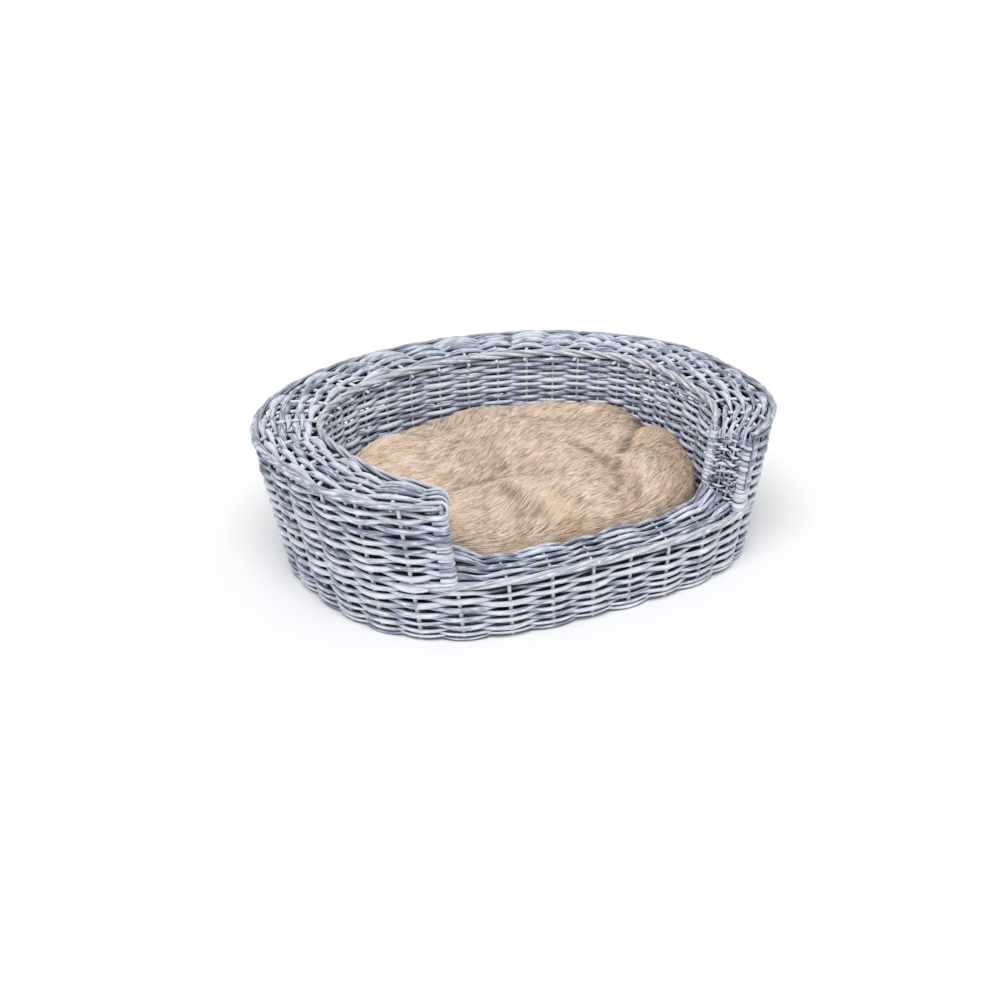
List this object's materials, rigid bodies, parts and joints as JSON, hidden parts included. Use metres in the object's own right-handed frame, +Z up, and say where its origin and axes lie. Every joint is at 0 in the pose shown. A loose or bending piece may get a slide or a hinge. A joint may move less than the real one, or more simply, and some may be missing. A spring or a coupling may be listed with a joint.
{
  "type": "wicker pet bed basket",
  "caption": "Oval double-walled wicker pet basket with a wide woven C-shaped rim, a low front sill between two arm ends, and a loose fur-topped cushion.",
  "frame": {"origin": "centre of the bounding box's bottom, on the surface the basket stands on", "axes": "+X to the basket's own left-to-right width seen from the front, -Y out of the front sill, +Z up"},
  "size_m": [0.5982, 0.4688, 0.17],
  "materials": {
    "wall_willow": "grey-washed peeled willow, dry-brushed white",
    "rim_willow": "grey-washed peeled willow, dry-brushed white",
    "well_willow": "grey-washed thin willow",
    "edge_willow": "pale grey-washed willow",
    "stake_willow": "whitewashed willow stakes",
    "floor_willow": "grey-washed willow",
    "fur_pile": "long tan faux fur with dark tips",
    "fibre_filling": "loose polyester fibre",
    "cushion_cloth": "plain woven cotton"
  },
  "bodies": {
    "basket": {"base_floor_weave": "floor_willow", "base_long_sticks": "stake_willow", "base_cross_sticks": "stake_willow", "foot_border": "wall_willow", "lower_wall_weave": "wall_willow", "outer_wall_weave": "wall_willow", "outer_stakes": "stake_willow", "outer_rim_wale": "edge_willow", "rim_top_weave": "rim_willow", "rim_ribs": "stake_willow", "inner_rim_wale": "edge_willow", "inner_wall_weave": "well_willow", "inner_stakes": "stake_willow", "left_arm_end_weave": "rim_willow", "right_arm_end_weave": "rim_willow", "left_outer_post": "rim_willow", "right_outer_post": "rim_willow", "left_inner_post": "rim_willow", "right_inner_post": "rim_willow", "sill_outer_wale": "edge_willow", "sill_top_weave": "rim_willow", "sill_ribs": "stake_willow", "sill_inner_wall_weave": "well_willow"},
    "cushion": {"cushion_cover": "fur_pile", "cushion_filling": "fibre_filling", "cushion_underside": "cushion_cloth"}
  },
  "joints": [
    {"name": "cushion_lift", "type": "slide", "parent": "basket", "child": "cushion", "axis": [0, 0, 1], "range_m": [0, 0.18]}
  ]
}
